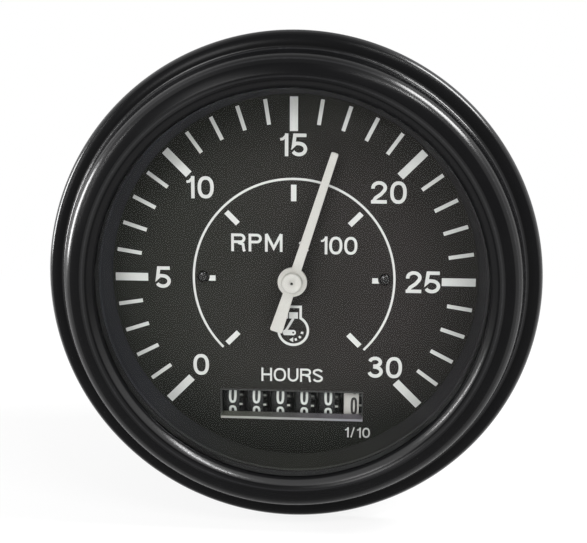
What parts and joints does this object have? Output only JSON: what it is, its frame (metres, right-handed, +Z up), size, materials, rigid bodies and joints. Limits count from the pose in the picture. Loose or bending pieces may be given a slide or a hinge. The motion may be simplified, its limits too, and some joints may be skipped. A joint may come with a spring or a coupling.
{
  "type": "panel tachometer",
  "caption": "Round panel tachometer with a black stepped bezel, a sweep pointer over a printed scale, an hour counter behind a dial window, and a rear clamp bracket.",
  "frame": {"origin": "centre of the bezel flange's rear face, where it meets the panel", "axes": "-Y out of the dial towards the viewer, +Y back along the case, +Z up, +X to the viewer's right"},
  "size_m": [0.098, 0.0972, 0.098],
  "materials": {
    "bezel_black": "satin gloss",
    "board_green": "solder mask",
    "brass": "bright",
    "bulb_glass": "clear",
    "shield_steel": "drawn",
    "capacitor_blue": "sleeve",
    "case_plastic": "matte moulded",
    "chip_black": "moulded",
    "copper_wire": "enamelled",
    "dial_face": "matte",
    "print": "matte ink",
    "black_steel": "gloss",
    "surround": "satin",
    "drum_black": "satin",
    "drum_white": "satin",
    "glass": "clear",
    "gear_plastic": "satin",
    "rubber": "matte",
    "lamp_black": "satin",
    "magnet_grey": "sintered",
    "pointer_ivory": "satin",
    "resistor_tan": "lacquer",
    "steel": "ground",
    "trimmer_blue": "moulded",
    "white_plastic": "satin",
    "window_grey": "satin",
    "zinc_steel": "zinc plated"
  },
  "bodies": {
    "instrument": {"case_shell": "case_plastic", "case_collar": "case_plastic", "bezel_ring": "bezel_black", "front_glass": "glass", "glass_gasket": "rubber", "dial_surround": "surround", "dial_plate": "dial_face", "dial_print": "print", "window_frame": "window_grey", "dial_screws": "black_steel", "dial_posts": "zinc_steel", "chassis_plate": "zinc_steel", "chassis_screws": "zinc_steel", "movement_stand": "white_plastic", "shield_can": "shield_steel", "coil_bobbin": "white_plastic", "coil_inner": "copper_wire", "coil_outer": "copper_wire", "upper_bearing": "brass", "lower_bearing": "brass", "counter_frame": "shield_steel", "counter_shafts": "steel", "drive_motor": "shield_steel", "circuit_board": "board_green", "board_posts": "zinc_steel", "board_screws": "zinc_steel", "board_chips": "chip_black", "board_capacitors": "capacitor_blue", "board_resistors": "resistor_tan", "trimmer_body": "trimmer_blue", "terminal_straps": "brass", "terminal_studs": "brass", "terminal_washers": "zinc_steel", "terminal_nuts": "brass", "mounting_studs": "zinc_steel", "stud_nuts": "zinc_steel"},
    "pointer": {"pointer_blade": "pointer_ivory", "pointer_hub": "pointer_ivory", "pointer_spindle": "steel", "rotor_magnet": "magnet_grey"},
    "tenths": {"wheel_tenths": "drum_white"},
    "units": {"wheel_units": "drum_black"},
    "tens": {"wheel_tens": "drum_black"},
    "hundreds": {"wheel_hundreds": "drum_black"},
    "thousands": {"wheel_thousands": "drum_black"},
    "ten_thousands": {"wheel_ten_thousands": "drum_black"},
    "transfer_units": {"pinion_units": "gear_plastic"},
    "transfer_tens": {"pinion_tens": "gear_plastic"},
    "transfer_hundreds": {"pinion_hundreds": "gear_plastic"},
    "transfer_thousands": {"pinion_thousands": "gear_plastic"},
    "transfer_ten_thousands": {"pinion_ten_thousands": "gear_plastic"},
    "drive": {"drive_gear": "gear_plastic"},
    "motor_rotor": {"motor_pinion": "brass"},
    "trimmer": {"trimmer_screw": "white_plastic"},
    "plug": {"trimmer_plug": "rubber"},
    "lamp": {"lamp_holder": "lamp_black", "lamp_bulb": "bulb_glass"},
    "clamp": {"clamp_bracket": "zinc_steel", "clamp_washers": "zinc_steel", "clamp_nuts": "zinc_steel"}
  },
  "joints": [
    {"name": "pointer_turn", "type": "hinge", "parent": "instrument", "child": "pointer", "pos_m": [0, 0, 0], "axis": [0, 1, 0], "range_deg": [-153.36, 116.64]},
    {"name": "tenths_turn", "type": "hinge", "parent": "instrument", "child": "tenths", "pos_m": [0.0125, 0.011, -0.0268], "axis": [1, 0, 0], "continuous": true},
    {"name": "units_turn", "type": "hinge", "parent": "instrument", "child": "units", "pos_m": [0.0075, 0.011, -0.0268], "axis": [1, 0, 0], "continuous": true},
    {"name": "tens_turn", "type": "hinge", "parent": "instrument", "child": "tens", "pos_m": [0.0025, 0.011, -0.0268], "axis": [1, 0, 0], "continuous": true},
    {"name": "hundreds_turn", "type": "hinge", "parent": "instrument", "child": "hundreds", "pos_m": [-0.0025, 0.011, -0.0268], "axis": [1, 0, 0], "continuous": true},
    {"name": "thousands_turn", "type": "hinge", "parent": "instrument", "child": "thousands", "pos_m": [-0.0075, 0.011, -0.0268], "axis": [1, 0, 0], "continuous": true},
    {"name": "ten_thousands_turn", "type": "hinge", "parent": "instrument", "child": "ten_thousands", "pos_m": [-0.0125, 0.011, -0.0268], "axis": [1, 0, 0], "continuous": true},
    {"name": "transfer_units_turn", "type": "hinge", "parent": "instrument", "child": "transfer_units", "pos_m": [0.0087, 0.0194, -0.0268], "axis": [1, 0, 0], "continuous": true},
    {"name": "transfer_tens_turn", "type": "hinge", "parent": "instrument", "child": "transfer_tens", "pos_m": [0.0037, 0.0194, -0.0268], "axis": [1, 0, 0], "continuous": true},
    {"name": "transfer_hundreds_turn", "type": "hinge", "parent": "instrument", "child": "transfer_hundreds", "pos_m": [-0.0013, 0.0194, -0.0268], "axis": [1, 0, 0], "continuous": true},
    {"name": "transfer_thousands_turn", "type": "hinge", "parent": "instrument", "child": "transfer_thousands", "pos_m": [-0.0063, 0.0194, -0.0268], "axis": [1, 0, 0], "continuous": true},
    {"name": "transfer_ten_thousands_turn", "type": "hinge", "parent": "instrument", "child": "transfer_ten_thousands", "pos_m": [-0.0113, 0.0194, -0.0268], "axis": [1, 0, 0], "continuous": true},
    {"name": "drive_turn", "type": "hinge", "parent": "instrument", "child": "drive", "pos_m": [0.0152, 0.0194, -0.0268], "axis": [1, 0, 0], "continuous": true},
    {"name": "motor_turn", "type": "hinge", "parent": "instrument", "child": "motor_rotor", "pos_m": [0.0162, 0.02239, -0.01858], "axis": [1, 0, 0], "continuous": true},
    {"name": "trimmer_turn", "type": "hinge", "parent": "instrument", "child": "trimmer", "pos_m": [-0.014, 0.041, 0.011], "axis": [0, 1, 0], "range_deg": [-135, 135]},
    {"name": "plug_pull", "type": "slide", "parent": "instrument", "child": "plug", "axis": [0, 1, 0], "range_m": [0, 0.008]},
    {"name": "lamp_pull", "type": "slide", "parent": "instrument", "child": "lamp", "axis": [0, 1, 0], "range_m": [0, 0.03]},
    {"name": "clamp_slide", "type": "slide", "parent": "instrument", "child": "clamp", "axis": [0, 1, 0], "range_m": [-0.002, 0.045]}
  ],
  "couplings": [
    {"joint": "units_turn", "follows": "tenths_turn", "ratio": 0.1},
    {"joint": "tens_turn", "follows": "tenths_turn", "ratio": 0.01},
    {"joint": "hundreds_turn", "follows": "tenths_turn", "ratio": 0.001},
    {"joint": "thousands_turn", "follows": "tenths_turn", "ratio": 0.0001},
    {"joint": "ten_thousands_turn", "follows": "tenths_turn", "ratio": 0.00001},
    {"joint": "transfer_units_turn", "follows": "tenths_turn", "ratio": -0.25},
    {"joint": "transfer_tens_turn", "follows": "tenths_turn", "ratio": -0.025},
    {"joint": "transfer_hundreds_turn", "follows": "tenths_turn", "ratio": -0.0025},
    {"joint": "transfer_thousands_turn", "follows": "tenths_turn", "ratio": -0.00025},
    {"joint": "transfer_ten_thousands_turn", "follows": "tenths_turn", "ratio": -0.000025},
    {"joint": "drive_turn", "follows": "tenths_turn", "ratio": -2.5},
    {"joint": "motor_turn", "follows": "tenths_turn", "ratio": 10}
  ]
}
